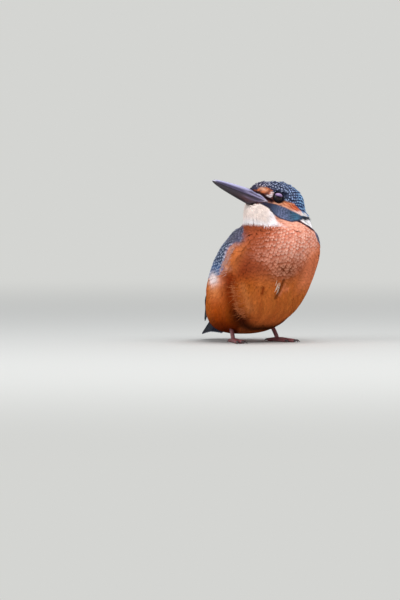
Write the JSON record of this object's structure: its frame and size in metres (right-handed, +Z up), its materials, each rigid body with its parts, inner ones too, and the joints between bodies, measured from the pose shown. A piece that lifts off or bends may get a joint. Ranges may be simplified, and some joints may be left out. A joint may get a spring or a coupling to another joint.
{
  "type": "kingfisher",
  "caption": "Common kingfisher as a still, life-size model: it stands upright on its two feet with its head turned to its right.",
  "frame": {"origin": "on the ground plane, under the middle of the whole bird's box", "axes": "-Y is the way the breast faces, -X is the bird's right, to which the head is turned, +Z is up"},
  "size_m": [0.074, 0.0877, 0.0885],
  "materials": {
    "feathers_orange": "soft matt breast and belly feathers",
    "feathers_blue": "satin blue feathers with pale blue spots",
    "feathers_dark_blue": "satin blue-black quills",
    "feathers_white": "soft matt throat and neck feathers",
    "bill_horn": "black-grey horn, half gloss",
    "eye_dark": "wet gloss, near-black brown",
    "leg_skin": "dull red-brown scaled skin",
    "claw_horn": "black horn"
  },
  "bodies": {
    "root": {"head": "feathers_blue", "wing_left": "feathers_blue", "wing_right": "feathers_blue", "trunk": "feathers_orange", "neck": "feathers_white", "tail": "feathers_dark_blue", "primaries_left": "feathers_dark_blue", "primaries_right": "feathers_dark_blue", "bill_upper": "bill_horn", "bill_lower": "bill_horn", "eye_left": "eye_dark", "eye_right": "eye_dark", "tarsus_left": "leg_skin", "tarsus_right": "leg_skin", "foot_left": "leg_skin", "foot_right": "leg_skin", "claw_left_inner": "claw_horn", "claw_left_middle": "claw_horn", "claw_left_outer": "claw_horn", "claw_left_hind": "claw_horn", "claw_right_inner": "claw_horn", "claw_right_middle": "claw_horn", "claw_right_outer": "claw_horn", "claw_right_hind": "claw_horn"}
  },
  "joints": []
}
